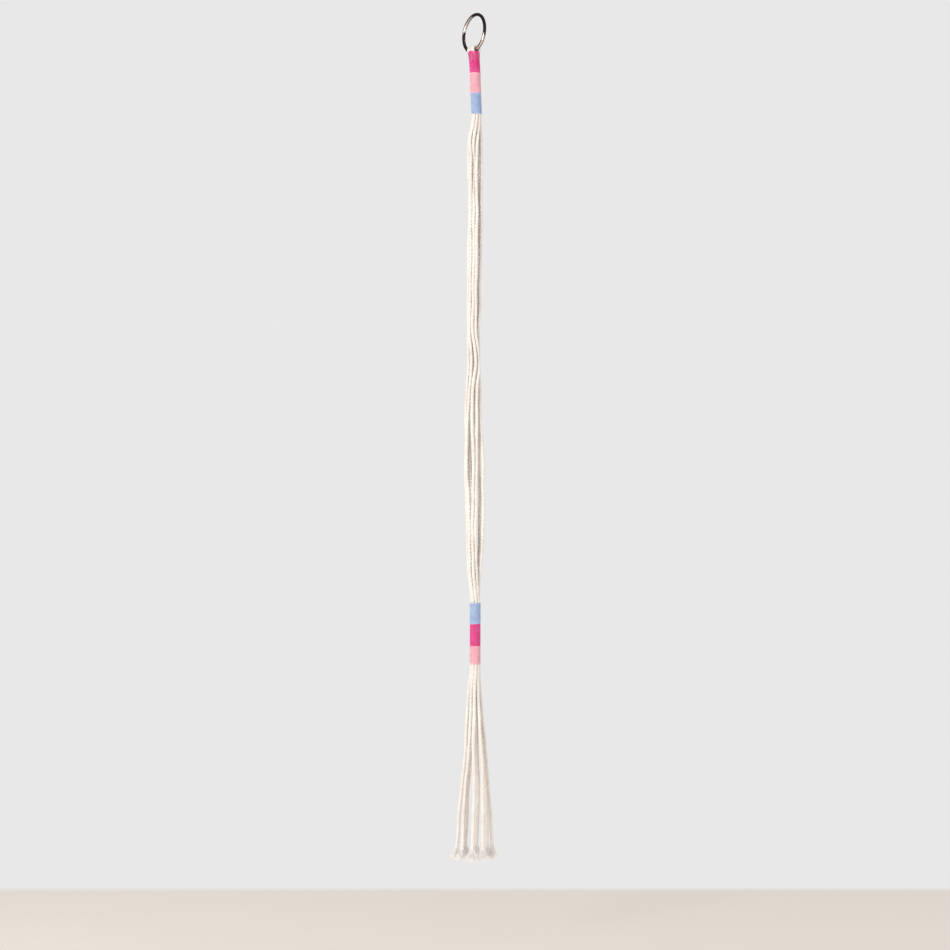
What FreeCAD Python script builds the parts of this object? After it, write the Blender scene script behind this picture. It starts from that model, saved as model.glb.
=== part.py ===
import FreeCAD, Part

import math
import os

# Hanging macrame planter, empty: four cotton cords are folded over a steel ring, bound by three
# yarn wraps below it and by three more near the foot, and end in an eight-strand tassel.
# Millimetres. The origin is the hook's seat, the inside of the ring at its top.
# +Z is up, +X is to the right and +Y is away from the viewer.

# ---------------------------------------------------------------- driving dimensions
RING_INNER_RADIUS = 21.0
RING_WIRE_RADIUS = 2.0
RING_TURN = 34.0            # degrees the eye's axis is turned from +X towards +Y
RING_LEAN = 4.9             # degrees the eye's axis dips
LOOPS_ALONG_WIRE = 2.5      # from the ring's lowest point to the middle of the loops

CORD_DIAMETER = 3.3
STRANDS = 8
CORD_GAP = 0.06             # between neighbouring cords in a bound bundle
YARN_THICKNESS = 0.75       # what a yarn wrap adds to the bundle's radius
WRAP_GAP = 0.04             # between a wrap and the cords it binds
WIRE_GAP = 0.3              # between the ring's wire and the loops that turn on it
MOUTH_GAP = 0.5             # from the end of a bound bundle to the pivots of its strands
STRAND_SETBACK = 0.5        # from a mouth's pivot to the strand's end
KNEE_SETBACK = 0.8          # from a knee's pivot to the end of each half strand
TASSEL_SETBACK = 0.9        # from a tassel strand's pivot to its end

TOP_WRAPS = [("magenta", 16.2), ("pink", 25.2), ("blue", 25.8)]
BOTTOM_WRAPS = [("blue", 25.9), ("magenta", 26.8), ("pink", 22.3)]
DROP_LENGTH = 604.4         # from the top wraps down to the bottom wraps
TASSEL_LENGTH = 226.0       # from the bottom wraps to the start of the frayed ends
FRAYED_LENGTH = 16.5
FRAYED_RADIUS = 6.5

# X and Y of the bundles' axes, from the middle of the loops on the wire
TOP_BUNDLE_HEAD = (0.8, -0.3)
TOP_BUNDLE_FOOT = (3.2, -1.0)
BOTTOM_BUNDLE = (1.5, -5.0)
KNEE_OUT = 2.0              # how much further out than the mouths the strands stand at mid drop
STRAIGHT_END = 9.5          # straight length of a strand where it meets a mouth or its knee
# A loop's legs, from the wire's middle down to the top wraps, in cord diameters
LEG_DIAMETERS = 3.4
LEG_TUCK_DIAMETERS = 0.7    # from the top wraps up to the point where the legs come together
LEG_DROP_DIAMETERS = 0.42   # straight length of the legs below the wire's middle
LEG_SPREAD = 0.30           # how much wider than the loops the legs stand halfway to the tuck

# Each strand's way down, for a cord of this diameter: (X, Y) from the line between the two
# bundles, at these shares of the half strand's length. Typed in half millimetres, but many
# of the values aren't an independent choice: report.md says how they came about.
WAYS_CHOSEN_FOR = 3.3
UPPER_SHARES = (0.098, 0.224, 0.382, 0.561, 0.736, 0.878)
UPPER_WAYS = [
    [(6.0, 0.5), (6.5, 1.0), (5.5, 0.5), (5.5, 0.5), (4.5, 0.5), (3.5, 0.5)],
    [(3.0, 5.0), (3.5, 5.5), (2.5, 5.0), (3.0, 5.5), (1.5, 5.0), (1.5, 5.0)],
    [(-1.5, 7.0), (-1.5, 7.5), (-1.5, 7.0), (-1.5, 7.5), (-2.5, 7.5), (-2.5, 6.5)],
    [(-6.0, 5.0), (-5.0, 5.0), (-5.0, 4.5), (-5.5, 5.0), (-7.0, 5.0), (-6.0, 5.5)],
    [(-9.0, 1.0), (-9.0, 0.5), (-8.0, 0.5), (-9.5, 0.5), (-10.0, 1.0), (-9.5, 1.0)],
    [(-8.0, -4.0), (-8.0, -3.5), (-7.0, -3.5), (-7.5, -4.0), (-8.0, -4.0), (-8.5, -4.0)],
    [(-3.5, -6.5), (-2.0, -2.5), (-3.0, -6.5), (-3.0, -6.5), (-4.5, -6.5), (-4.5, -6.0)],
    [(1.5, -4.5), (0.5, -6.5), (1.5, -5.0), (1.0, -4.5), (-0.5, -4.5), (-0.5, -4.0)],
]
LOWER_SHARES = (0.115, 0.258, 0.426, 0.605, 0.767, 0.896)
LOWER_WAYS = [
    [(4.5, 0.5), (6.0, 0.0), (8.5, 0.0), (9.0, 1.0), (8.0, 0.5), (5.0, 0.0)],
    [(0.5, 4.5), (4.0, 4.5), (4.0, 5.0), (5.5, 4.5), (4.5, 5.0), (3.0, 4.5)],
    [(-3.0, 7.5), (-1.5, 6.5), (-3.5, 7.0), (-3.0, 7.0), (0.5, 7.0), (-0.5, 7.5)],
    [(-6.5, 5.0), (-7.0, 5.0), (-8.0, 5.5), (-7.0, 5.0), (-5.0, 5.0), (-4.5, 5.0)],
    [(-11.0, 0.5), (-11.5, 1.0), (-12.5, 0.5), (-10.5, 0.5), (-9.5, 1.0), (-8.0, 1.0)],
    [(-7.5, -4.0), (-9.5, -4.0), (-10.5, -3.5), (-8.5, -4.0), (-7.0, -4.0), (-6.0, -4.0)],
    [(-3.0, -6.5), (-5.0, -7.0), (-3.0, -6.0), (-3.5, -6.5), (-2.5, -6.5), (-2.5, -6.5)],
    [(1.5, -4.0), (0.5, -4.0), (1.5, -4.0), (1.0, -4.5), (1.5, -3.5), (1.0, -4.0)],
]
TASSEL_SHARES = (0.13, 0.29, 0.48, 0.69, 0.88, 1.0)
TASSEL_WAYS = [
    [(6.2, 1.0), (8.2, 1.2), (13.0, 1.6), (15.2, 2.0), (19.6, 2.8), (21.0, 3.0)],
    [(4.4, 5.6), (5.4, 8.0), (9.3, 10.0), (12.6, 12.4), (14.2, 15.4), (15.0, 17.0)],
    [(-0.6, 7.4), (1.6, 10.2), (1.8, 12.6), (4.2, 15.8), (2.6, 19.2), (1.0, 21.0)],
    [(-5.4, 4.4), (-6.4, 7.0), (-5.4, 9.2), (-9.0, 12.0), (-11.0, 15.4), (-12.0, 17.0)],
    [(-8.6, -0.8), (-9.8, -0.6), (-11.8, 0.0), (-17.0, 0.8), (-21.0, 1.6), (-22.5, 2.0)],
    [(-5.2, -4.6), (-5.4, -5.6), (-6.8, -6.6), (-13.0, -8.4), (-14.4, -10.2), (-15.5, -11.0)],
    [(-1.0, -6.8), (-1.0, -9.2), (-2.3, -11.2), (-0.9, -14.0), (-2.4, -16.4), (-3.5, -17.5)],
    [(3.6, -4.6), (4.8, -6.0), (7.8, -7.6), (10.0, -9.6), (9.4, -12.0), (9.5, -13.0)],
]

# ---------------------------------------------------------------- what follows from them
Vector = FreeCAD.Vector
UP = Vector(0, 0, 1)
CORD_RADIUS = CORD_DIAMETER / 2
CORD_PITCH = CORD_DIAMETER + CORD_GAP
BUNDLE_CIRCLE = CORD_PITCH / (2 * math.sin(math.pi / STRANDS))
WRAP_INNER_RADIUS = BUNDLE_CIRCLE + CORD_RADIUS + WRAP_GAP
WRAP_OUTER_RADIUS = WRAP_INNER_RADIUS + YARN_THICKNESS
RING_RADIUS = RING_INNER_RADIUS + RING_WIRE_RADIUS

TOP_WRAPS_LENGTH = sum(length for colour, length in TOP_WRAPS)
BOTTOM_WRAPS_LENGTH = sum(length for colour, length in BOTTOM_WRAPS)
WAYS_SCALE = CORD_DIAMETER / WAYS_CHOSEN_FOR

turn = math.radians(RING_TURN)
lean = math.radians(RING_LEAN)
EYE_AXIS = Vector(math.cos(turn) * math.cos(lean), math.sin(turn) * math.cos(lean), -math.sin(lean))
RING_LEVEL = Vector(math.sin(turn), -math.cos(turn), 0)
RING_UP = RING_LEVEL.cross(EYE_AXIS)
RING_CENTRE = RING_UP * -RING_INNER_RADIUS

# The loops sit on the wire a little to one side of its lowest point.
round_wire = LOOPS_ALONG_WIRE / RING_RADIUS
LOOP_SEAT = RING_CENTRE + (RING_LEVEL * math.sin(round_wire) - RING_UP * math.cos(round_wire)) * RING_RADIUS
WIRE_ALONG = RING_LEVEL * math.cos(round_wire) + RING_UP * math.sin(round_wire)
WIRE_UP = RING_UP * math.cos(round_wire) - RING_LEVEL * math.sin(round_wire)
FIRST_ANGLE = RING_TURN - 90 + 180 / STRANDS + 45   # the first strand's place round the bundle

TOP_HEAD = LOOP_SEAT + Vector(*TOP_BUNDLE_HEAD, -CORD_DIAMETER * LEG_DIAMETERS)
TOP_FOOT = LOOP_SEAT + Vector(*TOP_BUNDLE_FOOT, TOP_HEAD.z - LOOP_SEAT.z - TOP_WRAPS_LENGTH)
BOTTOM_HEAD = LOOP_SEAT + Vector(*BOTTOM_BUNDLE, TOP_FOOT.z - LOOP_SEAT.z - DROP_LENGTH)
BOTTOM_FOOT = BOTTOM_HEAD - UP * BOTTOM_WRAPS_LENGTH


def strand_angle(number):
    return math.radians(FIRST_ANGLE + number * 360 / STRANDS)


def out_from_axis(number):
    angle = strand_angle(number)
    return Vector(math.cos(angle), math.sin(angle), 0)


def axis_between(start, end, z):
    share = (z - start.z) / (end.z - start.z)
    return start + (end - start) * share


def save(name, shape):
    if not shape.isValid() or len(shape.Solids) != 1:
        raise RuntimeError(name + " is not one valid solid")
    shape.exportStep("parts/" + name + ".step")


# ---------------------------------------------------------------- cords
def half_turn_at(before, corner, after):
    return (math.pi - (before - corner).getAngle(after - corner)) / 2


def corner_arc(before, corner, after, reach):
    """The points where the rounding of a corner starts, is halfway and ends, and its radius."""
    half_turn = half_turn_at(before, corner, after)
    radius = reach / math.tan(half_turn)
    back = (before - corner).normalize()
    ahead = (after - corner).normalize()
    middle = (back + ahead).normalize()
    halfway = corner + middle * (radius / math.cos(half_turn) - radius)
    return corner + back * reach, halfway, corner + ahead * reach, radius


def corner_reaches(points, set_radii):
    """How far from each corner its arc starts. A corner in set_radii is as round as that says."""
    reaches = {index: radius * math.tan(half_turn_at(*points[index - 1:index + 2]))
               for index, radius in set_radii.items()}
    for index in range(1, len(points) - 1):
        if index not in set_radii:
            rooms = []
            for neighbour in (index - 1, index + 1):
                run = (points[neighbour] - points[index]).Length
                if neighbour in set_radii:
                    rooms.append(0.9 * (run - reaches[neighbour]))
                rooms.append(0.45 * run)
            reaches[index] = min(rooms)
    return reaches


def cord_tube(name, points, set_radii=None):
    """A round cord along straight runs joined by tangent arcs, as wide as their runs allow."""
    reaches = corner_reaches(points, set_radii or {})
    edges = []
    radii = []
    here = points[0]
    for index in range(1, len(points) - 1):
        start, halfway, end, radius = corner_arc(*points[index - 1:index + 2], reaches[index])
        if (start - here).Length > 1e-4:
            edges.append(Part.LineSegment(here, start).toShape())
        edges.append(Part.Arc(start, halfway, end).toShape())
        radii.append(radius)
        here = end
    edges.append(Part.LineSegment(here, points[-1]).toShape())
    path = Part.Wire(edges)
    section = Part.Wire([Part.makeCircle(CORD_RADIUS, points[0], points[1] - points[0])])
    tube = path.makePipeShell([section], True, False)
    share = tube.Volume / (math.pi * CORD_RADIUS ** 2 * path.Length)
    print(f"{name}: length {path.Length:.1f} mm, tightest radius {min(radii):.1f} mm, "
          f"volume {share:.4f} of section times length")
    if abs(share - 1) > 0.005:
        raise RuntimeError(name + " has the wrong volume")
    save(name, tube)


def straight_cord(name, start, end):
    save(name, Part.makeCylinder(CORD_RADIUS, (end - start).Length, start, end - start))


def bundle_place(centre, number, further_out=0.0):
    return centre + out_from_axis(number) * (BUNDLE_CIRCLE + further_out)


# ---------------------------------------------------------------- ring, loops and wraps
def make_ring():
    ring = Part.makeTorus(RING_RADIUS, RING_WIRE_RADIUS, RING_CENTRE, EYE_AXIS)
    save("hanging_ring", ring)


def make_loops():
    """Each cord goes over the wire and down both sides of it, into the top wraps."""
    loops = STRANDS // 2
    tuck_z = TOP_HEAD.z + CORD_DIAMETER * LEG_TUCK_DIAMETERS
    for loop in range(loops):
        along = (loop - (loops - 1) / 2) * CORD_PITCH
        furthest = abs(along) + CORD_RADIUS / 3
        rise = furthest ** 2 / (2 * RING_RADIUS)
        radius = RING_WIRE_RADIUS + CORD_RADIUS + WIRE_GAP + rise
        seat = LOOP_SEAT + WIRE_ALONG * along
        straight = WIRE_UP * (CORD_DIAMETER * LEG_DROP_DIAMETERS)
        points = []
        for side, number in ((1, 2 - loop), (-1, 3 + loop)):
            number = number % STRANDS
            foot = bundle_place(TOP_FOOT, number)
            tuck = bundle_place(axis_between(TOP_HEAD, TOP_FOOT, tuck_z), number)
            leg = seat + EYE_AXIS * (side * radius) - straight
            crown = seat + EYE_AXIS * (side * radius) + WIRE_UP * radius
            halfway = (tuck + leg) / 2 + WIRE_ALONG * (along * LEG_SPREAD)
            half = [foot, tuck, halfway, leg, crown]
            points += half if side == 1 else half[::-1]
        cord_tube(f"cord_loop_{loop + 1}", points, {4: radius, 5: radius})


def make_wraps(place, head, foot, wraps):
    direction = foot - head
    direction.normalize()
    start = head
    for colour, length in wraps:
        outer = Part.makeCylinder(WRAP_OUTER_RADIUS, length, start, direction)
        bore = Part.makeCylinder(WRAP_INNER_RADIUS, length, start, direction)
        save(f"{place}_wrap_{colour}", outer.cut(bore))
        start = start + direction * length


# ---------------------------------------------------------------- strands
def half_strand(name, number, start_pivot, end_pivot, setbacks, shares, way):
    """A strand between two pivots, set back from each, straight near both."""
    begin = start_pivot - UP * setbacks[0]
    finish = end_pivot + UP * setbacks[1]
    points = [begin, begin - UP * STRAIGHT_END]
    for share, (x, y) in zip(shares, way):
        z = start_pivot.z + (end_pivot.z - start_pivot.z) * share
        line = axis_between(TOP_FOOT, BOTTOM_HEAD, z)
        points.append(line + Vector(x, y, 0) * WAYS_SCALE)
    points += [finish + UP * STRAIGHT_END, finish]
    cord_tube(name, points)


def make_strands():
    top_pivot_z = TOP_FOOT.z - MOUTH_GAP
    bottom_pivot_z = BOTTOM_HEAD.z + MOUTH_GAP
    knee_z = (top_pivot_z + bottom_pivot_z) / 2
    for number in range(STRANDS):
        top = bundle_place(Vector(TOP_FOOT.x, TOP_FOOT.y, top_pivot_z), number)
        bottom = bundle_place(Vector(BOTTOM_HEAD.x, BOTTOM_HEAD.y, bottom_pivot_z), number)
        knee = bundle_place(axis_between(TOP_FOOT, BOTTOM_HEAD, knee_z), number, KNEE_OUT)
        half_strand(f"strand_upper_{number + 1}", number, top, knee,
                    (STRAND_SETBACK, KNEE_SETBACK), UPPER_SHARES, UPPER_WAYS[number])
        half_strand(f"strand_lower_{number + 1}", number, knee, bottom,
                    (KNEE_SETBACK, STRAND_SETBACK), LOWER_SHARES, LOWER_WAYS[number])


def make_bound_cords():
    for number in range(STRANDS):
        straight_cord(f"bound_cord_{number + 1}",
                      bundle_place(BOTTOM_HEAD, number), bundle_place(BOTTOM_FOOT, number))


def make_tassel():
    begin_z = BOTTOM_FOOT.z - MOUTH_GAP - TASSEL_SETBACK
    end_z = BOTTOM_FOOT.z - TASSEL_LENGTH
    for number in range(STRANDS):
        begin = bundle_place(Vector(BOTTOM_FOOT.x, BOTTOM_FOOT.y, begin_z), number)
        points = [begin, begin - UP * STRAIGHT_END]
        for share, (x, y) in zip(TASSEL_SHARES, TASSEL_WAYS[number]):
            z = begin_z + (end_z - begin_z) * share
            foot = Vector(BOTTOM_FOOT.x, BOTTOM_FOOT.y, z)
            points.append(foot + Vector(x, y, 0) * WAYS_SCALE)
        cord_tube(f"tassel_cord_{number + 1}", points)
        direction = points[-1] - points[-2]
        save(f"frayed_end_{number + 1}",
             Part.makeCone(CORD_RADIUS, FRAYED_RADIUS, FRAYED_LENGTH, points[-1], direction))


os.makedirs("parts", exist_ok=True)
make_ring()
make_loops()
make_wraps("top", TOP_HEAD, TOP_FOOT, TOP_WRAPS)
make_strands()
make_wraps("bottom", BOTTOM_HEAD, BOTTOM_FOOT, BOTTOM_WRAPS)
make_bound_cords()
make_tassel()
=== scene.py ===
import math

import bpy
import numpy as np
from mathutils import Matrix, Vector


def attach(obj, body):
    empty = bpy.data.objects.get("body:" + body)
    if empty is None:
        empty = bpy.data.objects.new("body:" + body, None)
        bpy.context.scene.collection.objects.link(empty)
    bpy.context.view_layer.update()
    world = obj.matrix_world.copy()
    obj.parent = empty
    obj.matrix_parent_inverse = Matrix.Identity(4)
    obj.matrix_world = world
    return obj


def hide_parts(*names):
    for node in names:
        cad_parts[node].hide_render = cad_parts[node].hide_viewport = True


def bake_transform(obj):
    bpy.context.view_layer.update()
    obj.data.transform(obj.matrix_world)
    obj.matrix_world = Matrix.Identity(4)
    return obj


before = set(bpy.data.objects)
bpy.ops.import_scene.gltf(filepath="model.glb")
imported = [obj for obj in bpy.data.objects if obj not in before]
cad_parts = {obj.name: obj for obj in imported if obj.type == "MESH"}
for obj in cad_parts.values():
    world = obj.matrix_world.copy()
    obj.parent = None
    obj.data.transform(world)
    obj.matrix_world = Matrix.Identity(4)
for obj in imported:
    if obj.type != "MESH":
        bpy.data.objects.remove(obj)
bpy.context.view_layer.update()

# A hanging macrame planter, empty: eight cotton strands from four cords folded over a ring, bound
# by yarn wraps under the ring and above the tassel. Metres. The origin is the ring's inside top.
MM = 0.001
scene = bpy.context.scene
scene.view_settings.view_transform = "Standard"

# ---------------------------------------------------------------- camera
camera = bpy.data.objects.new("camera", bpy.data.cameras.new("camera"))
scene.collection.objects.link(camera)
camera.location = (-0.0004, -2.780, -0.56845)
camera.rotation_euler = (math.radians(90), 0, 0)
camera.data.lens = 85
camera.data.sensor_width = 36
scene.camera = camera

# ---------------------------------------------------------------- sizes, the same as the part's
STRANDS = 8
CORD_DIAMETER = 3.3 * MM            # where it is bound or goes over the ring
LOOSE_DIAMETER = 3.75 * MM          # where it hangs free and its twist opens
KNEE_OUT = 2.0 * MM
BUNDLE_CIRCLE = 4.390 * MM          # from a bundle's axis to its strands' centres
FIRST_ANGLE = 11.5                  # degrees from +X to the first strand
LOOP_SEAT = Vector((-1.711, -4.164, -43.704)) * MM
WIRE_ALONG = Vector((0.5636, -0.8190, 0.1081))
WIRE_UP = Vector((0.0097, 0.1374, 0.9904))
EYE_AXIS = Vector((0.8260, 0.5571, -0.0854))
TOP_HEAD = Vector((-0.911, -4.464, -54.924)) * MM
TOP_FOOT = Vector((1.489, -5.164, -122.124)) * MM
BOTTOM_HEAD = Vector((-0.211, -9.164, -726.524)) * MM
BOTTOM_FOOT = Vector((-0.211, -9.164, -801.524)) * MM
KNEE_Z = -424.324 * MM
TASSEL_PIVOT_Z = -802.024 * MM
TASSEL_END_Z = -1027.524 * MM
STUB = 3.5 * MM                     # a strand's hidden end inside a wrap
STRAIGHT_END = 10 * MM
MOUTH_GAP = 0.5 * MM                # between a wrap's end and the joint beside it
KNEE_ASIDE = 2.0 * MM               # how far the knees are drawn to the left of their joints
BOUND_INSET = 4.5 * MM              # from a bottom bundle's end to its bound strands' ends
TASSEL_DROP = 0.9 * MM              # from the tassel's joints to the top of its routes
TUFT_OVERLAP = 0.8                  # millimetres that a tuft starts inside its strand
PINCH = 0.20                        # how much slimmer a loose strand is where a wrap holds it
LOOSE_FIBRES = 24000.0              # to a square metre of a strand's surface
FIBRE_LENGTH = 0.0012
CORD_PLY_SIZE = 0.70                # a ply's radius as a share of the cord's
CORD_LAY = 0.0135                   # length of one turn of the plies
DROP_FULLNESS = 1.08                # drawn width over LOOSE_DIAMETER
TASSEL_FULLNESS = 1.22
DROP_WANDER = 0.85 * MM
TASSEL_WANDER = 0.70 * MM
LOOP_TUCK = 1.1                     # cord diameters above the top wraps where the legs meet
LOOP_SPACING = 3.36                 # millimetres between loops along the wire
LOOP_RADIUS = 3.95 * MM
LOOP_OFFSET = 0.55 * MM             # the outer loops lie wider, by the square of their distance
LOOP_FLARE = 46 * MM
LEG_DROP = 1.386                    # millimetres straight down from the wire's middle

# each kind of piece draws from its own seeds
DROP_SEED, LOOP_SEED, BOUND_SEED, TASSEL_SEED, TUFT_SEED, YARN_SEED = 10, 30, 50, 70, 90, 110

# The routes of the strands and the tassel, as the part's source has them: (X, Y) in millimetres
# from the line between the two bundles, at these shares of the way down.
UPPER_SHARES = (0.098, 0.224, 0.382, 0.561, 0.736, 0.878)
UPPER_WAYS = [
    [(6.0, 0.5), (6.5, 1.0), (5.5, 0.5), (5.5, 0.5), (4.5, 0.5), (3.5, 0.5)],
    [(3.0, 5.0), (3.5, 5.5), (2.5, 5.0), (3.0, 5.5), (1.5, 5.0), (1.5, 5.0)],
    [(-1.5, 7.0), (-1.5, 7.5), (-1.5, 7.0), (-1.5, 7.5), (-2.5, 7.5), (-2.5, 6.5)],
    [(-6.0, 5.0), (-5.0, 5.0), (-5.0, 4.5), (-5.5, 5.0), (-7.0, 5.0), (-6.0, 5.5)],
    [(-9.0, 1.0), (-9.0, 0.5), (-8.0, 0.5), (-9.5, 0.5), (-10.0, 1.0), (-9.5, 1.0)],
    [(-8.0, -4.0), (-8.0, -3.5), (-7.0, -3.5), (-7.5, -4.0), (-8.0, -4.0), (-8.5, -4.0)],
    [(-3.5, -6.5), (-2.0, -2.5), (-3.0, -6.5), (-3.0, -6.5), (-4.5, -6.5), (-4.5, -6.0)],
    [(1.5, -4.5), (0.5, -6.5), (1.5, -5.0), (1.0, -4.5), (-0.5, -4.5), (-0.5, -4.0)],
]
LOWER_SHARES = (0.115, 0.258, 0.426, 0.605, 0.767, 0.896)
LOWER_WAYS = [
    [(4.5, 0.5), (6.0, 0.0), (8.5, 0.0), (9.0, 1.0), (8.0, 0.5), (5.0, 0.0)],
    [(0.5, 4.5), (4.0, 4.5), (4.0, 5.0), (5.5, 4.5), (4.5, 5.0), (3.0, 4.5)],
    [(-3.0, 7.5), (-1.5, 6.5), (-3.5, 7.0), (-3.0, 7.0), (0.5, 7.0), (-0.5, 7.5)],
    [(-6.5, 5.0), (-7.0, 5.0), (-8.0, 5.5), (-7.0, 5.0), (-5.0, 5.0), (-4.5, 5.0)],
    [(-11.0, 0.5), (-11.5, 1.0), (-12.5, 0.5), (-10.5, 0.5), (-9.5, 1.0), (-8.0, 1.0)],
    [(-7.5, -4.0), (-9.5, -4.0), (-10.5, -3.5), (-8.5, -4.0), (-7.0, -4.0), (-6.0, -4.0)],
    [(-3.0, -6.5), (-5.0, -7.0), (-3.0, -6.0), (-3.5, -6.5), (-2.5, -6.5), (-2.5, -6.5)],
    [(1.5, -4.0), (0.5, -4.0), (1.5, -4.0), (1.0, -4.5), (1.5, -3.5), (1.0, -4.0)],
]
TASSEL_SHARES = (0.13, 0.29, 0.48, 0.69, 0.88, 1.0)
TASSEL_WAYS = [
    [(6.2, 1.0), (8.2, 1.2), (13.0, 1.6), (15.2, 2.0), (19.6, 2.8), (21.0, 3.0)],
    [(4.4, 5.6), (5.4, 8.0), (9.3, 10.0), (12.6, 12.4), (14.2, 15.4), (15.0, 17.0)],
    [(-0.6, 7.4), (1.6, 10.2), (1.8, 12.6), (4.2, 15.8), (2.6, 19.2), (1.0, 21.0)],
    [(-5.4, 4.4), (-6.4, 7.0), (-5.4, 9.2), (-9.0, 12.0), (-11.0, 15.4), (-12.0, 17.0)],
    [(-8.6, -0.8), (-9.8, -0.6), (-11.8, 0.0), (-17.0, 0.8), (-21.0, 1.6), (-22.5, 2.0)],
    [(-5.2, -4.6), (-5.4, -5.6), (-6.8, -6.6), (-13.0, -8.4), (-14.4, -10.2), (-15.5, -11.0)],
    [(-1.0, -6.8), (-1.0, -9.2), (-2.3, -11.2), (-0.9, -14.0), (-2.4, -16.4), (-3.5, -17.5)],
    [(3.6, -4.6), (4.8, -6.0), (7.8, -7.6), (10.0, -9.6), (9.4, -12.0), (9.5, -13.0)],
]

# How far some strands are drawn from the routes above, to press on their neighbours: the strand's
# number, then (index of its point in the half, X, Y) in millimetres
UPPER_PRESSED = {
    6: [(1, 2.0, 0.0), (2, 0.1, -1.0), (3, 0.3, 1.5), (4, 0.2, -1.0), (5, -0.1, -0.6)],
    7: [(1, -0.5, 2.5), (2, -0.1, 0.7), (3, 0.4, 0.9), (4, 0.5, 0.9), (5, -0.3, 1.1)],
    8: [(1, -1.3, 0.0), (2, -0.8, -0.6), (3, -0.1, -1.1), (4, 0.3, -0.7), (5, 0.0, 0.8)],
}
LOWER_PRESSED = {
    1: [(2, 0.6, 0.0), (3, 0.8, 0.0)],
    6: [(1, -0.6, 0.0), (2, -0.8, 0.5), (3, 0.4, -0.8), (4, 0.6, -0.6)],
    7: [(0, -0.6, 0.8), (2, 0.8, 0.6), (3, 0.2, 0.9), (4, -0.4, 0.9)],
    8: [(0, -0.5, -0.8), (1, 0.6, -0.8), (3, -0.3, -0.8), (4, -0.8, -1.4)],
}


def bundle_place(centre, number, further_out=0.0):
    angle = math.radians(FIRST_ANGLE + number * 360 / STRANDS)
    out = Vector((math.cos(angle), math.sin(angle), 0))
    return centre + out * (BUNDLE_CIRCLE + further_out)


def between(start, end, z):
    return start.lerp(end, (z - start.z) / (end.z - start.z))


# ---------------------------------------------------------------- node helpers
def step(tree, kind, feeds=None, **settings):
    """A node with its settings, fed with values or with other nodes' outputs."""
    made = tree.nodes.new(kind)
    for setting, value in settings.items():
        setattr(made, setting, value)
    for socket, value in (feeds or {}).items():
        if isinstance(value, bpy.types.NodeSocket):
            tree.links.new(value, made.inputs[socket])
        else:
            made.inputs[socket].default_value = value
    return made


def sum_of(tree, operation, *values):
    return step(tree, "ShaderNodeMath", dict(enumerate(values)), operation=operation).outputs[0]


def vector_sum(tree, operation, *values):
    made = step(tree, "ShaderNodeVectorMath", dict(enumerate(values)), operation=operation)
    return made.outputs["Value" if operation in ("LENGTH", "DOT_PRODUCT") else "Vector"]


def scaled(tree, vector, factor):
    made = step(tree, "ShaderNodeVectorMath", {0: vector, "Scale": factor}, operation="SCALE")
    return made.outputs[0]


def vector_of(tree, x=0.0, y=0.0, z=0.0):
    return step(tree, "ShaderNodeCombineXYZ", {0: x, 1: y, 2: z}).outputs[0]


def new_tree(name, inputs):
    """A geometry tree with its named sizes, and its input and output nodes."""
    tree = bpy.data.node_groups.new(name, "GeometryNodeTree")
    tree.interface.new_socket("Geometry", in_out="OUTPUT", socket_type="NodeSocketGeometry")
    tree.interface.new_socket("Geometry", in_out="INPUT", socket_type="NodeSocketGeometry")
    for label, value in inputs.items():
        kind = {float: "Float", int: "Int"}.get(type(value), "Material")
        socket = tree.interface.new_socket(label, in_out="INPUT", socket_type="NodeSocket" + kind)
        if value is not None:
            socket.default_value = value
    return tree, tree.nodes.new("NodeGroupInput").outputs, tree.nodes.new("NodeGroupOutput").inputs


def fibres_on(tree, mesh, given):
    """Short loose fibres that stand out of a mesh's surface, with the mesh."""
    points = step(tree, "GeometryNodeDistributePointsOnFaces",
                  {"Mesh": mesh, "Density": given["Fibres"], "Seed": given["Seed"]})
    hair = step(tree, "GeometryNodeCurvePrimitiveLine", {"Start": (0, 0, 0), "End": (0, 0, 1)})
    hair = step(tree, "GeometryNodeResampleCurve", {"Curve": hair.outputs[0], "Count": 4})
    share = step(tree, "GeometryNodeSplineParameter").outputs["Factor"]
    bend = sum_of(tree, "MULTIPLY", sum_of(tree, "POWER", share, 2.0), 0.45)
    hair = step(tree, "GeometryNodeSetPosition",
                {"Geometry": hair.outputs[0], "Offset": vector_of(tree, bend)})
    section = step(tree, "GeometryNodeCurvePrimitiveCircle", {"Resolution": 3, "Radius": 1.0})
    thin = sum_of(tree, "MULTIPLY_ADD", share, -0.04, 0.05)
    hair = step(tree, "GeometryNodeCurveToMesh",
                {"Curve": hair.outputs[0], "Profile Curve": section.outputs[0],
                 "Scale": thin, "Fill Caps": True})
    lean = step(tree, "FunctionNodeRandomValue",
                {0: (-1.1, -1.1, -3.14), 1: (1.1, 1.1, 3.14), "Seed": given["Seed"]},
                data_type="FLOAT_VECTOR").outputs[0]
    rotation = step(tree, "FunctionNodeRotateRotation",
                    {0: points.outputs["Rotation"],
                     1: step(tree, "FunctionNodeEulerToRotation", {0: lean}).outputs[0]},
                    rotation_space="LOCAL").outputs[0]
    long = step(tree, "FunctionNodeRandomValue",
                {2: 0.5, 3: 1.4, "Seed": given["Seed"]}).outputs[1]
    stood = step(tree, "GeometryNodeInstanceOnPoints",
                 {"Points": points.outputs[0], "Instance": hair.outputs[0], "Rotation": rotation,
                  "Scale": sum_of(tree, "MULTIPLY", long, given["Fibre Length"])})
    joined = step(tree, "GeometryNodeJoinGeometry", {0: stood.outputs[0]})
    tree.links.new(mesh, joined.inputs[0])
    return joined.outputs[0]


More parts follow.
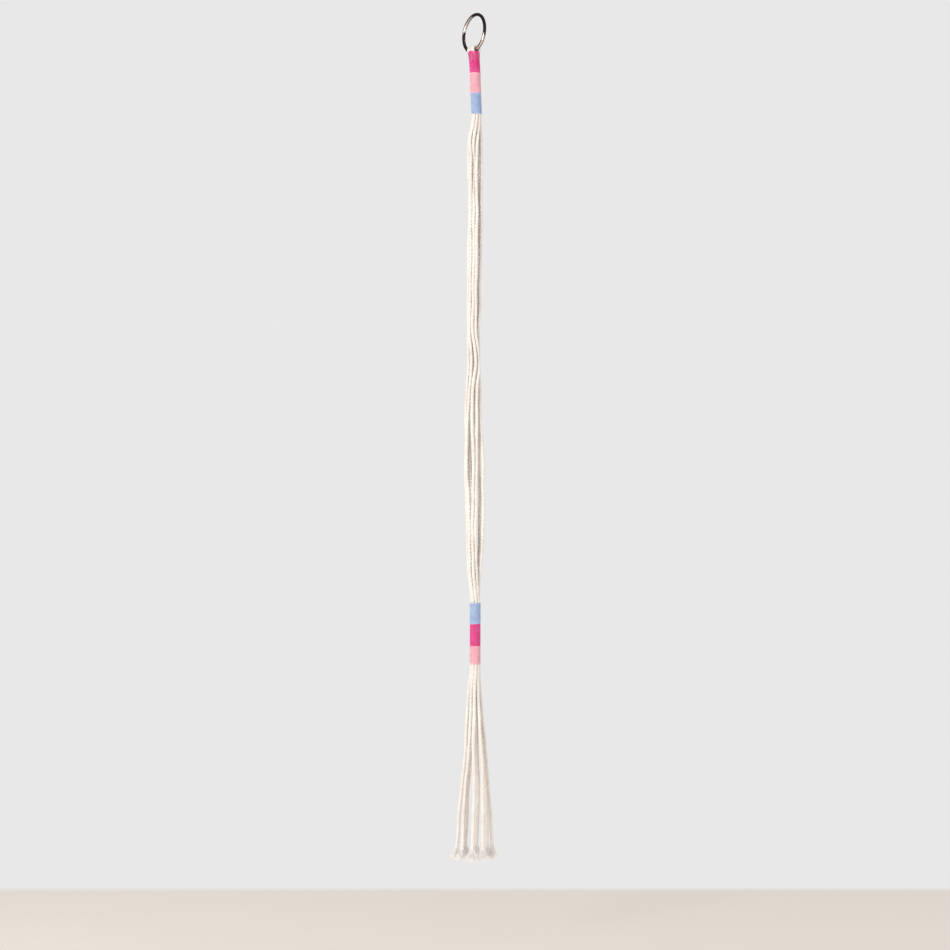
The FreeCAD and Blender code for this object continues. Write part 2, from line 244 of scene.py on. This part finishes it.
def finished(tree, geometry, material, out):
    """What every tree ends in."""
    real = step(tree, "GeometryNodeRealizeInstances", {0: geometry})
    painted = step(tree, "GeometryNodeSetMaterial",
                   {"Geometry": real.outputs[0], "Material": material})
    tree.links.new(painted.outputs[0], out[0])


def make_spun_tree():
    """Plies twisted round a path: each ply is a lobe of a section that turns as it goes along."""
    tree, given, out = new_tree("spun_cord", {
        "Diameter": 0.0036, "Plies": 3.0, "Ply Size": 0.56, "Lay": 0.013, "Step": 0.0009,
        "Section Points": 24, "Unevenness": 0.05, "Head Pinch": 0.0, "Foot Pinch": 0.0,
        "Pinch Length": 0.02, "Wander": 0.0, "Fibres": 0.0, "Fibre Length": 0.001, "Seed": 1,
        "Material": None})
    path = step(tree, "GeometryNodeMeshToCurve", {0: given["Geometry"]})
    path = step(tree, "GeometryNodeResampleCurve",
                {"Curve": path.outputs[0], "Length": given["Step"]}, mode="LENGTH")
    along = step(tree, "GeometryNodeSplineParameter").outputs["Length"]
    path = step(tree, "GeometryNodeStoreNamedAttribute",
                {"Geometry": path.outputs[0], "Name": "along", "Value": along}, data_type="FLOAT")
    row = sum_of(tree, "MULTIPLY", given["Seed"], 3.7)
    slow = step(tree, "ShaderNodeTexNoise", {"Vector": vector_of(tree, along, row),
                                             "Scale": 60.0, "Detail": 1.0}).outputs["Fac"]
    quick = step(tree, "ShaderNodeTexNoise",
                 {"Vector": vector_of(tree, along, row, 5.0), "Scale": 300.0}).outputs["Fac"]
    turns = sum_of(tree, "DIVIDE", along, given["Lay"])
    turns = sum_of(tree, "ADD", turns, sum_of(tree, "MULTIPLY", slow, 0.9))
    path = step(tree, "GeometryNodeSetCurveTilt",
                {"Curve": path.outputs[0], "Tilt": sum_of(tree, "MULTIPLY", turns, 2 * math.pi)})
    swell = sum_of(tree, "SUBTRACT", sum_of(tree, "ADD", slow, quick), 1.0)
    swell = sum_of(tree, "MULTIPLY_ADD", swell, given["Unevenness"], 1.0)
    loose = 1.0
    left = sum_of(tree, "SUBTRACT", step(tree, "GeometryNodeSplineLength").outputs[0], along)
    for distance, pinch in ((along, given["Head Pinch"]), (left, given["Foot Pinch"])):
        near = step(tree, "ShaderNodeMapRange",
                    {"Value": distance, "From Max": given["Pinch Length"],
                     "To Min": 1.0, "To Max": 0.0}, interpolation_type="SMOOTHSTEP").outputs[0]
        slim = sum_of(tree, "SUBTRACT", 1.0, sum_of(tree, "MULTIPLY", near, pinch))
        swell = sum_of(tree, "MULTIPLY", swell, slim)
        loose = sum_of(tree, "MULTIPLY", loose, sum_of(tree, "SUBTRACT", 1.0, near))
    place = vector_sum(tree, "MULTIPLY", step(tree, "GeometryNodeInputPosition").outputs[0],
                       (90.0, 90.0, 24.0))
    drift = step(tree, "ShaderNodeTexNoise",
                 {"Vector": place, "Scale": 1.0, "Detail": 1.0}).outputs["Color"]
    drift = scaled(tree, vector_sum(tree, "SUBTRACT", drift, (0.5, 0.5, 0.5)),
                   sum_of(tree, "MULTIPLY", loose, sum_of(tree, "MULTIPLY", given["Wander"], 4.0)))
    path = step(tree, "GeometryNodeSetPosition", {"Geometry": path.outputs[0], "Offset": drift})
    radius = sum_of(tree, "MULTIPLY", swell, sum_of(tree, "MULTIPLY", given["Diameter"], 0.5))

    circle = step(tree, "GeometryNodeCurvePrimitiveCircle",
                  {"Resolution": given["Section Points"], "Radius": 1.0})
    here = step(tree, "GeometryNodeInputPosition").outputs[0]
    parts = step(tree, "ShaderNodeSeparateXYZ", {0: here}).outputs
    angle = sum_of(tree, "ARCTAN2", parts[1], parts[0])
    local = sum_of(tree, "MULTIPLY", angle, given["Plies"])
    local = sum_of(tree, "WRAP", local, math.pi, -math.pi)
    local = sum_of(tree, "DIVIDE", local, given["Plies"])
    offset = sum_of(tree, "SUBTRACT", 1.0, given["Ply Size"])
    side = sum_of(tree, "MULTIPLY", offset, sum_of(tree, "SINE", local))
    inner = sum_of(tree, "SUBTRACT", sum_of(tree, "POWER", given["Ply Size"], 2.0),
                   sum_of(tree, "MULTIPLY", side, side))
    lobe = sum_of(tree, "ADD", sum_of(tree, "MULTIPLY", offset, sum_of(tree, "COSINE", local)),
                  sum_of(tree, "SQRT", inner))
    circle = step(tree, "GeometryNodeStoreNamedAttribute",
                  {"Geometry": circle.outputs[0], "Name": "around", "Value": here},
                  data_type="FLOAT_VECTOR")
    circle = step(tree, "GeometryNodeStoreNamedAttribute",
                  {"Geometry": circle.outputs[0], "Name": "lobe", "Value": lobe},
                  data_type="FLOAT")
    circle = step(tree, "GeometryNodeSetPosition",
                  {"Geometry": circle.outputs[0], "Position": scaled(tree, here, lobe)})
    rope = step(tree, "GeometryNodeCurveToMesh",
                {"Curve": path.outputs[0], "Profile Curve": circle.outputs[0],
                 "Scale": radius, "Fill Caps": True})
    rope = step(tree, "GeometryNodeSetShadeSmooth", {0: rope.outputs[0]})
    finished(tree, fibres_on(tree, rope.outputs[0], given), given["Material"], out)
    return tree


def make_tuft_tree():
    """A brushed-out cord end, hanging from the origin: crimped fibres that fan out as they go."""
    tree, given, out = new_tree("brushed_tuft", {
        "Count": 210, "Length": 0.0165, "Root": 0.0019, "Spread": 0.0062, "Crimp": 0.0013,
        "Thickness": 0.00030, "Seed": 1, "Material": None})
    points = step(tree, "GeometryNodePoints", {"Count": given["Count"]})

    def chance(low, high, more):
        return step(tree, "FunctionNodeRandomValue",
                    {2: low, 3: high, "Seed": sum_of(tree, "ADD", given["Seed"], more)}).outputs[1]

    turn = chance(0.0, 2 * math.pi, 11)
    out_share = sum_of(tree, "SQRT", chance(0.0, 1.0, 23))
    way = vector_of(tree, sum_of(tree, "COSINE", turn), sum_of(tree, "SINE", turn))
    stray = vector_of(tree, chance(-0.35, 0.35, 31), chance(-0.35, 0.35, 37))
    splay = vector_sum(tree, "ADD", scaled(tree, way, out_share), stray)
    kept = points.outputs[0]
    for name, value, kind in (("splay", splay, "FLOAT_VECTOR"),
                              ("root", scaled(tree, way, out_share), "FLOAT_VECTOR"),
                              ("reach", chance(0.72, 1.04, 41), "FLOAT"),
                              ("phase", chance(0.0, 2 * math.pi, 43), "FLOAT")):
        kept = step(tree, "GeometryNodeStoreNamedAttribute",
                    {"Geometry": kept, "Name": name, "Value": value}, data_type=kind).outputs[0]
    hair = step(tree, "GeometryNodeCurvePrimitiveLine", {"Start": (0, 0, 0), "End": (0, 0, -1)})
    hair = step(tree, "GeometryNodeResampleCurve", {"Curve": hair.outputs[0], "Count": 12})
    hairs = step(tree, "GeometryNodeInstanceOnPoints",
                 {"Points": kept, "Instance": hair.outputs[0]})
    hairs = step(tree, "GeometryNodeRealizeInstances", {0: hairs.outputs[0]})

    def read(name, kind="FLOAT"):
        named = step(tree, "GeometryNodeInputNamedAttribute", {"Name": name}, data_type=kind)
        return named.outputs[0]

    share = step(tree, "GeometryNodeSplineParameter").outputs["Factor"]
    fan = sum_of(tree, "MULTIPLY", sum_of(tree, "POWER", share, 1.35), given["Spread"])
    down = sum_of(tree, "MULTIPLY", share, read("reach"))
    down = sum_of(tree, "MULTIPLY", down, given["Length"])
    wave = sum_of(tree, "MULTIPLY_ADD", share, 9.0, read("phase"))
    sway = sum_of(tree, "MULTIPLY", given["Crimp"], share)
    crimp = vector_of(tree, sum_of(tree, "MULTIPLY", sway, sum_of(tree, "SINE", wave)),
                      sum_of(tree, "MULTIPLY", sway, sum_of(tree, "COSINE", wave)))
    place = vector_sum(tree, "ADD", scaled(tree, read("root", "FLOAT_VECTOR"), given["Root"]),
                       scaled(tree, read("splay", "FLOAT_VECTOR"), fan))
    place = vector_sum(tree, "ADD", place, crimp)
    place = vector_sum(tree, "SUBTRACT", place, vector_of(tree, 0.0, 0.0, down))
    hairs = step(tree, "GeometryNodeSetPosition",
                 {"Geometry": hairs.outputs[0], "Position": place})
    section = step(tree, "GeometryNodeCurvePrimitiveCircle", {"Resolution": 4, "Radius": 1.0})
    thin = sum_of(tree, "MULTIPLY_ADD", share, -0.35, 0.55)
    thin = sum_of(tree, "MULTIPLY", thin, given["Thickness"])
    hairs = step(tree, "GeometryNodeCurveToMesh",
                 {"Curve": hairs.outputs[0], "Profile Curve": section.outputs[0],
                  "Scale": thin, "Fill Caps": True})
    hairs = step(tree, "GeometryNodeSetShadeSmooth", {0: hairs.outputs[0]})
    finished(tree, hairs.outputs[0], given["Material"], out)
    return tree


def grown(name, base, tree, sizes):
    """The plain mesh that a tree makes of a base mesh, as an object at the origin."""
    holder = bpy.data.objects.new(name + "_base", base)
    scene.collection.objects.link(holder)
    modifier = holder.modifiers.new("grow", "NODES")
    modifier.node_group = tree
    for item in tree.interface.items_tree:
        if item.in_out == "INPUT" and item.name in sizes:
            modifier[item.identifier] = sizes[item.name]
    graph = bpy.context.evaluated_depsgraph_get()
    mesh = bpy.data.meshes.new_from_object(holder.evaluated_get(graph))
    bpy.data.objects.remove(holder)
    mesh.name = name
    piece = bpy.data.objects.new(name, mesh)
    scene.collection.objects.link(piece)
    return piece


# ---------------------------------------------------------------- materials
def make_spun_group():
    """Colour tone and height of twisted fibres, which follow a spun cord's own plies, and a mask
    of the grooves between the plies, where the materials paint in shade.
    """
    group = bpy.data.node_groups.new("spun_fibres", "ShaderNodeTree")
    for label, value in (("Streaks", 2.2), ("Streak Length", 0.004), ("Twist Pitch", 0.009),
                         ("Patch Size", 0.03)):
        socket = group.interface.new_socket(label, in_out="INPUT", socket_type="NodeSocketFloat")
        socket.default_value = value
    for label in ("Tone", "Height", "Groove Shade"):
        group.interface.new_socket(label, in_out="OUTPUT", socket_type="NodeSocketFloat")
    given = group.nodes.new("NodeGroupInput").outputs
    out = group.nodes.new("NodeGroupOutput").inputs
    around = step(group, "ShaderNodeAttribute", attribute_name="around").outputs["Vector"]
    along = step(group, "ShaderNodeAttribute", attribute_name="along").outputs["Fac"]
    lobe = step(group, "ShaderNodeAttribute", attribute_name="lobe").outputs["Fac"]
    turn = sum_of(group, "DIVIDE", along, given["Twist Pitch"])
    turn = sum_of(group, "MULTIPLY", turn, -2 * math.pi)
    turned = step(group, "ShaderNodeVectorRotate", {"Vector": around, "Angle": turn},
                  rotation_type="Z_AXIS").outputs[0]
    run = vector_of(group, 0.0, 0.0, sum_of(group, "DIVIDE", along, given["Streak Length"]))
    place = vector_sum(group, "ADD", scaled(group, turned, given["Streaks"]), run)
    streak = step(group, "ShaderNodeTexNoise",
                  {"Vector": place, "Scale": 1.6, "Detail": 3.0, "Roughness": 0.6}).outputs["Fac"]
    world = step(group, "ShaderNodeTexCoord").outputs["Object"]
    patch = step(group, "ShaderNodeTexNoise",
                 {"Vector": world, "Scale": sum_of(group, "DIVIDE", 1.0, given["Patch Size"]),
                  "Detail": 2.0}).outputs["Fac"]
    fluff = step(group, "ShaderNodeTexNoise",
                 {"Vector": world, "Scale": 1800.0, "Detail": 2.0}).outputs["Fac"]
    tone = sum_of(group, "MULTIPLY_ADD", sum_of(group, "SUBTRACT", streak, 0.5), 0.9, patch)
    group.links.new(tone, out["Tone"])
    group.links.new(sum_of(group, "MULTIPLY_ADD", fluff, 0.35, streak), out["Height"])
    # a mask of the grooves between the plies, used only to paint shade into them
    groove_shade_mask = step(group, "ShaderNodeMapRange", {"Value": lobe, "From Min": 0.98, "From Max": 0.66})
    group.links.new(groove_shade_mask.outputs[0], out["Groove Shade"])
    return group


def spun_material(name, group, dark, light, groove_shade_colour, values, bump, sheen):
    """Cotton or wool: two tones that vary along the fibres, and a darker one painted in as shade
    in the grooves between the plies.
    """
    material = bpy.data.materials.new(name)
    material.use_nodes = True
    tree = material.node_tree
    surface = tree.nodes["Principled BSDF"]
    fibres = step(tree, "ShaderNodeGroup", node_tree=group)
    for label, value in values.items():
        fibres.inputs[label].default_value = value
    tone = step(tree, "ShaderNodeMapRange",
                {"Value": fibres.outputs["Tone"], "From Min": 0.25, "From Max": 0.75}).outputs[0]
    colour = step(tree, "ShaderNodeMix", {0: tone, 6: (*dark, 1), 7: (*light, 1)},
                  data_type="RGBA")
    # painted shade: the grooves between the plies are darkened towards the groove shade colour
    groove_shade_share = sum_of(tree, "MULTIPLY", fibres.outputs["Groove Shade"], 0.6)
    colour = step(tree, "ShaderNodeMix", {0: groove_shade_share, 6: colour.outputs[2], 7: (*groove_shade_colour, 1)},
                  data_type="RGBA")
    tree.links.new(colour.outputs[2], surface.inputs["Base Color"])
    raised = step(tree, "ShaderNodeBump", {"Height": fibres.outputs["Height"],
                                           "Strength": 0.6, "Distance": bump})
    tree.links.new(raised.outputs[0], surface.inputs["Normal"])
    surface.inputs["Roughness"].default_value = 0.92
    surface.inputs["Specular IOR Level"].default_value = 0.2
    surface.inputs["Sheen Weight"].default_value = sheen
    surface.inputs["Sheen Roughness"].default_value = 0.5
    return material


def make_ring_material():
    """Polished nickel with fine rubbing marks and a faint warm cast."""
    material = bpy.data.materials.new("polished_nickel")
    material.use_nodes = True
    tree = material.node_tree
    surface = tree.nodes["Principled BSDF"]
    place = step(tree, "ShaderNodeTexCoord").outputs["Object"]
    rub = step(tree, "ShaderNodeTexNoise",
               {"Vector": place, "Scale": 420.0, "Detail": 4.0}).outputs["Fac"]
    cast = step(tree, "ShaderNodeTexNoise",
                {"Vector": place, "Scale": 60.0, "Detail": 1.0}).outputs["Fac"]
    colour = step(tree, "ShaderNodeMix",
                  {0: cast, 6: (0.52, 0.44, 0.42, 1), 7: (0.66, 0.56, 0.50, 1)}, data_type="RGBA")
    tree.links.new(colour.outputs[2], surface.inputs["Base Color"])
    rough = step(tree, "ShaderNodeMapRange", {"Value": rub, "To Min": 0.08, "To Max": 0.26})
    tree.links.new(rough.outputs[0], surface.inputs["Roughness"])
    raised = step(tree, "ShaderNodeBump", {"Height": rub, "Strength": 0.08, "Distance": 0.0002})
    tree.links.new(raised.outputs[0], surface.inputs["Normal"])
    surface.inputs["Metallic"].default_value = 1.0
    return material


def make_stage_material(name, light, dark, grain):
    material = bpy.data.materials.new(name)
    material.use_nodes = True
    tree = material.node_tree
    surface = tree.nodes["Principled BSDF"]
    place = step(tree, "ShaderNodeTexCoord").outputs["Object"]
    cloud = step(tree, "ShaderNodeTexNoise", {"Vector": place, "Scale": grain, "Detail": 3.0})
    colour = step(tree, "ShaderNodeMix",
                  {0: cloud.outputs["Fac"], 6: (*dark, 1), 7: (*light, 1)}, data_type="RGBA")
    tree.links.new(colour.outputs[2], surface.inputs["Base Color"])
    surface.inputs["Roughness"].default_value = 0.8
    surface.inputs["Specular IOR Level"].default_value = 0.1
    return material


spun_group = make_spun_group()
CORD_GRAIN = {"Streaks": 2.4, "Streak Length": 0.004, "Twist Pitch": 0.010, "Patch Size": 0.035}
YARN_GRAIN = {"Streaks": 1.6, "Streak Length": 0.003, "Twist Pitch": 0.006, "Patch Size": 0.008}
# the third colour of each material is painted shade for the grooves between its plies
cotton = spun_material("natural_cotton", spun_group, (0.77, 0.71, 0.65), (0.87, 0.83, 0.78),
                       (0.57, 0.50, 0.43), CORD_GRAIN, 0.0003, 0.25)
brushed_cotton = spun_material("brushed_cotton", spun_group, (0.98, 0.95, 0.92),
                               (0.99, 0.98, 0.96), (0.95, 0.91, 0.87), CORD_GRAIN, 0.0002, 0.3)
YARNS = {
    "magenta": spun_material("magenta_wool", spun_group, (0.76, 0.038, 0.24), (0.95, 0.095, 0.39),
                             (0.50, 0.015, 0.12), YARN_GRAIN, 0.0004, 0.3),
    "pink": spun_material("pink_wool", spun_group, (0.95, 0.44, 0.52), (0.99, 0.60, 0.67),
                          (0.80, 0.29, 0.36), YARN_GRAIN, 0.0004, 0.3),
    "blue": spun_material("blue_wool", spun_group, (0.37, 0.50, 0.74), (0.51, 0.65, 0.91),
                          (0.23, 0.32, 0.53), YARN_GRAIN, 0.0004, 0.3),
}
nickel = make_ring_material()
spun = make_spun_tree()
brushed = make_tuft_tree()


# ---------------------------------------------------------------- cords
def route_line(name, points):
    """The line of a smooth spline that has these points as its control points, as a mesh."""
    route = bpy.data.curves.new(name, "CURVE")
    route.dimensions = "3D"
    spline = route.splines.new("NURBS")
    spline.points.add(len(points) - 1)
    for control, place in zip(spline.points, points):
        control.co = (*place, 1)
    spline.order_u = 3
    spline.use_endpoint_u = True
    spline.resolution_u = 16
    holder = bpy.data.objects.new(name, route)
    line = bpy.data.meshes.new_from_object(holder)
    bpy.data.objects.remove(holder)
    return line


def cord_piece(name, points, seed, diameter=CORD_DIAMETER, fibres=0.0, head=0.0, foot=0.0,
               wander=0.0):
    """A three-ply cotton cord along its route, and the line it follows."""
    line = route_line(name, points)
    path = [vertex.co.copy() for vertex in line.vertices]
    piece = grown(name, line, spun, {
        "Diameter": diameter, "Ply Size": CORD_PLY_SIZE, "Lay": CORD_LAY, "Seed": seed,
        "Head Pinch": head, "Foot Pinch": foot, "Wander": wander, "Fibres": fibres,
        "Fibre Length": FIBRE_LENGTH, "Material": cotton})
    return piece, path


def half_way(start_z, end_z, shares, way, pressed):
    """A half strand's points between its two ends, moved where its neighbours press it."""
    points = []
    for share, (x, y) in zip(shares, way):
        z = start_z + (end_z - start_z) * share
        points.append(between(TOP_FOOT, BOTTOM_HEAD, z) + Vector((x, y, 0)) * MM)
    for index, x, y in pressed:
        points[index] += Vector((x, y, 0)) * MM
    return points


def make_strands():
    """Eight strands from the top wraps to the bottom wraps, which bend at their knees."""
    up = Vector((0, 0, 1))
    top_z = TOP_FOOT.z - MOUTH_GAP
    bottom_z = BOTTOM_HEAD.z + MOUTH_GAP
    for number in range(STRANDS):
        top = bundle_place(TOP_FOOT, number)
        bottom = bundle_place(BOTTOM_HEAD, number)
        knee = bundle_place(between(TOP_FOOT, BOTTOM_HEAD, KNEE_Z), number, KNEE_OUT)
        knee.x -= KNEE_ASIDE
        points = [top + up * STUB, top - up * STRAIGHT_END,
                  *half_way(top_z, KNEE_Z, UPPER_SHARES, UPPER_WAYS[number],
                            UPPER_PRESSED.get(number + 1, [])),
                  knee + up * STRAIGHT_END, knee - up * STRAIGHT_END,
                  *half_way(KNEE_Z, bottom_z, LOWER_SHARES, LOWER_WAYS[number],
                            LOWER_PRESSED.get(number + 1, [])),
                  bottom + up * STRAIGHT_END, bottom - up * STUB]
        piece, path = cord_piece(f"drop_strand_{number + 1}", points, DROP_SEED + number,
                                 LOOSE_DIAMETER * DROP_FULLNESS, LOOSE_FIBRES, PINCH, PINCH,
                                 DROP_WANDER)
        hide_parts(f"strand_upper_{number + 1}", f"strand_lower_{number + 1}")
        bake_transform(piece)


def make_loops():
    """Four cords folded over the ring's wire, with both legs going down into the top wraps."""
    tuck_z = TOP_HEAD.z + CORD_DIAMETER * LOOP_TUCK
    foot = between(TOP_HEAD, TOP_FOOT, TOP_FOOT.z + 4 * MM)
    for loop in range(4):
        along = (loop - 1.5) * LOOP_SPACING * MM
        radius = LOOP_RADIUS + (abs(along) + LOOP_OFFSET) ** 2 / LOOP_FLARE
        seat = LOOP_SEAT + WIRE_ALONG * along
        points = []
        for side, number in ((1, (2 - loop) % STRANDS), (-1, 3 + loop)):
            tuck = bundle_place(between(TOP_HEAD, TOP_FOOT, tuck_z), number)
            leg = seat + EYE_AXIS * (side * radius) - WIRE_UP * LEG_DROP * MM
            half = [bundle_place(foot, number), tuck, (tuck + leg) / 2,
                    leg, seat + EYE_AXIS * (side * radius) + WIRE_UP * radius]
            points += half if side == 1 else half[::-1]
        piece, path = cord_piece(f"ring_loop_{loop + 1}", points, LOOP_SEED + loop)
        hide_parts(f"cord_loop_{loop + 1}")
        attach(piece, "top_gather")


def make_bound_cords():
    """The strands' lengths inside the bottom wraps, which end inside them."""
    for number in range(STRANDS):
        head = bundle_place(BOTTOM_HEAD, number) - Vector((0, 0, BOUND_INSET))
        foot = bundle_place(BOTTOM_FOOT, number) + Vector((0, 0, BOUND_INSET))
        piece, path = cord_piece(f"bound_strand_{number + 1}", [head, (head + foot) / 2, foot],
                                 BOUND_SEED + number)
        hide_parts(f"bound_cord_{number + 1}")
        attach(piece, "bottom_gather")


def make_tassel():
    """Eight strands that hang free from the bottom wraps, each with a brushed-out end."""
    tassel_top = TASSEL_PIVOT_Z - TASSEL_DROP
    for number in range(STRANDS):
        top = bundle_place(BOTTOM_FOOT, number)
        points = [top + Vector((0, 0, STUB)), top - Vector((0, 0, STRAIGHT_END))]
        for share, (x, y) in zip(TASSEL_SHARES, TASSEL_WAYS[number]):
            z = tassel_top + (TASSEL_END_Z - tassel_top) * share
            points.append(Vector((BOTTOM_FOOT.x + x * MM, BOTTOM_FOOT.y + y * MM, z)))
        piece, path = cord_piece(f"tassel_strand_{number + 1}", points, TASSEL_SEED + number,
                                 LOOSE_DIAMETER * TASSEL_FULLNESS, LOOSE_FIBRES, PINCH, 0.0,
                                 TASSEL_WANDER)
        body = f"tassel_{number + 1}"
        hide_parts(f"tassel_cord_{number + 1}")
        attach(piece, body)

        end, heading = path[-1], (path[-1] - path[-4]).normalized()
        tuft = grown(f"brushed_end_{number + 1}", bpy.data.meshes.new("root"), brushed,
                     {"Seed": TUFT_SEED + number, "Material": brushed_cotton})
        turn = Vector((0, 0, -1)).rotation_difference(heading).to_matrix().to_4x4()
        tuft.data.transform(Matrix.Translation(end - heading * TUFT_OVERLAP * MM) @ turn)
        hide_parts(f"frayed_end_{number + 1}")
        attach(tuft, body)


make_strands()
make_loops()
make_bound_cords()
make_tassel()


# ---------------------------------------------------------------- yarn wraps
YARN_DIAMETER = 1.20 * MM
YARN_RADIUS_OUT = 6.25 * MM          # from the bundle's axis to the middle of the yarn
TURN_PITCH = 1.05 * MM
POINTS_PER_TURN = 36
UNEVEN_RADIUS = 0.16 * MM
UNEVEN_HEIGHT = 0.20 * MM
END_TUCK = 0.3 * MM                  # how far in a yarn's two ends go
TUCK_TURNS = 0.5
LEVEL_TURNS = 0.9                    # turns at each end that lie level
OVAL = 0.012
DOME_SHARE = 0.45                    # of the top band, shaped to the loops above it
DOME_OUT = 0.8                       # millimetres
SADDLE = 0.9 * MM
FIRST_TURN_DROP = 2.95               # millimetres under the loops' seat
BAND_LAP = 0.5 * MM
TOP_WRAPS = [("magenta", 16.2 * MM), ("pink", 25.2 * MM), ("blue", 25.8 * MM)]
BOTTOM_WRAPS = [("blue", 25.9 * MM), ("magenta", 26.8 * MM), ("pink", 22.3 * MM)]


def line_mesh(name, points):
    mesh = bpy.data.meshes.new(name)
    mesh.from_pydata(points, [(i, i + 1) for i in range(len(points) - 1)], [])
    return mesh


def winding(head, foot, seed, domed=False):
    """One yarn's turns round a bundle, a little uneven, with both ends tucked under."""
    chance = np.random.default_rng(seed)
    waves = [(chance.uniform(0.5, 3.0), chance.uniform(0, 6.28), chance.uniform(0.4, 1.0))
             for _ in range(5)]
    turns = round((head - foot).length / TURN_PITCH)
    count = turns * POINTS_PER_TURN
    points = []
    for index in range(count + 1):
        share = index / count
        turn = share * turns
        angle = 2 * math.pi * turn + seed
        wobble = sum(size * math.sin(rate * turn + start) for rate, start, size in waves) / 5
        tuck = min(1.0, turn / TUCK_TURNS, (turns - turn) / TUCK_TURNS)
        radius = YARN_RADIUS_OUT + UNEVEN_RADIUS * wobble - END_TUCK * (1 - tuck) ** 2
        out = Vector((math.cos(angle), math.sin(angle), 0))
        squash = 1 + OVAL * math.cos(2 * angle + seed)
        level = min(max((turn - LEVEL_TURNS) / (turns - 2 * LEVEL_TURNS), 0.0), 1.0)
        place = head.lerp(foot, level) + out * radius * squash
        place.z += UNEVEN_HEIGHT * math.sin(angle + 0.37 * turn + seed)
        if domed:
            rise = max(0.0, 1 - share / DOME_SHARE)
            rise = rise ** 2 * (3 - 2 * rise)
            slope = -(WIRE_UP.x * out.x + WIRE_UP.y * out.y) / WIRE_UP.z
            saddle = SADDLE * (EYE_AXIS.x * out.x + EYE_AXIS.y * out.y) ** 4
            place += out * rise * DOME_OUT * MM
            place.z += rise * (slope * radius + saddle)
        points.append(place)
    return line_mesh("winding", points)


def make_wraps(place, head, foot, wraps, body):
    direction = (foot - head).normalized()
    start = head
    for number, (colour, length) in enumerate(wraps):
        domed = place == "top" and number == 0
        end = start + direction * length
        if domed:
            first = LOOP_SEAT - WIRE_UP * FIRST_TURN_DROP * MM
        else:
            first = start - Vector((0, 0, BAND_LAP))
        last = end + Vector((0, 0, BAND_LAP))
        name = f"{place}_{colour}_winding"
        piece = grown(name, winding(first, last, 3 * number + len(place), domed), spun, {
            "Diameter": YARN_DIAMETER, "Plies": 2.0, "Ply Size": 0.80, "Lay": 0.0052,
            "Step": 0.0008, "Section Points": 10, "Unevenness": 0.10, "Fibres": 60000.0,
            "Fibre Length": 0.0011, "Seed": YARN_SEED + number, "Material": YARNS[colour]})
        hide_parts(f"{place}_wrap_{colour}")
        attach(piece, body)
        start = end


make_wraps("top", TOP_HEAD, TOP_FOOT, TOP_WRAPS, "top_gather")
make_wraps("bottom", BOTTOM_HEAD, BOTTOM_FOOT, BOTTOM_WRAPS, "bottom_gather")

# ---------------------------------------------------------------- ring
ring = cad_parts["hanging_ring"]
for material_slot in ring.material_slots:
    material_slot.material = nickel
if not ring.material_slots:
    ring.data.materials.append(nickel)

# ---------------------------------------------------------------- floor, light
FLOOR_Z = -1.154
FLOOR_BACK = 0.395
FLOOR_EDGE = 0.02                    # width of the paler strip at the floor's back
FLOOR_REACH = 4


def make_board(name, low, high, material):
    mesh = bpy.data.meshes.new(name)
    mesh.from_pydata([(low[0], low[1], FLOOR_Z), (high[0], low[1], FLOOR_Z),
                      (high[0], high[1], FLOOR_Z), (low[0], high[1], FLOOR_Z)], [], [(0, 1, 2, 3)])
    mesh.materials.append(material)
    board = bpy.data.objects.new(name, mesh)
    scene.collection.objects.link(board)


make_board("floor", (-FLOOR_REACH, -FLOOR_REACH), (FLOOR_REACH, FLOOR_BACK - FLOOR_EDGE),
           make_stage_material("pale_floor", (0.85, 0.79, 0.73), (0.82, 0.76, 0.70), 3.0))
make_board("floor_edge", (-FLOOR_REACH, FLOOR_BACK - FLOOR_EDGE), (FLOOR_REACH, FLOOR_BACK),
           make_stage_material("floor_edge", (0.87, 0.83, 0.78), (0.85, 0.81, 0.76), 3.0))

world = bpy.data.worlds.new("studio")
world.use_nodes = True
scene.world = world
tree = world.node_tree
backdrop = tree.nodes["Background"]
backdrop.inputs["Color"].default_value = (0.807, 0.807, 0.807, 1)
fill = step(tree, "ShaderNodeBackground", {"Color": (0.78, 0.76, 0.75, 1)})
mirrored = step(tree, "ShaderNodeBackground", {"Color": (0.045, 0.034, 0.042, 1)})
ray = step(tree, "ShaderNodeLightPath").outputs
lit = step(tree, "ShaderNodeMixShader", {0: ray["Is Glossy Ray"], 1: fill.outputs[0],
                                         2: mirrored.outputs[0]})
seen = step(tree, "ShaderNodeMixShader", {0: ray["Is Camera Ray"], 1: lit.outputs[0],
                                          2: backdrop.outputs[0]})
tree.links.new(seen.outputs[0], tree.nodes["World Output"].inputs["Surface"])


def make_softbox(name, place, aim, size, power):
    lamp = bpy.data.lights.new(name, "AREA")
    lamp.shape = "RECTANGLE"
    lamp.size, lamp.size_y = size
    lamp.energy = power
    holder = bpy.data.objects.new(name, lamp)
    scene.collection.objects.link(holder)
    holder.location = place
    holder.rotation_euler = (Vector(aim) - Vector(place)).to_track_quat("-Z", "Y").to_euler()


make_softbox("key_light", (-1.6, -2.0, -0.31), (0, 0, -0.55), (0.9, 1.1), 41)
make_softbox("side_light", (2.0, -0.9, -0.75), (0, 0, -0.5), (0.5, 0.9), 9)
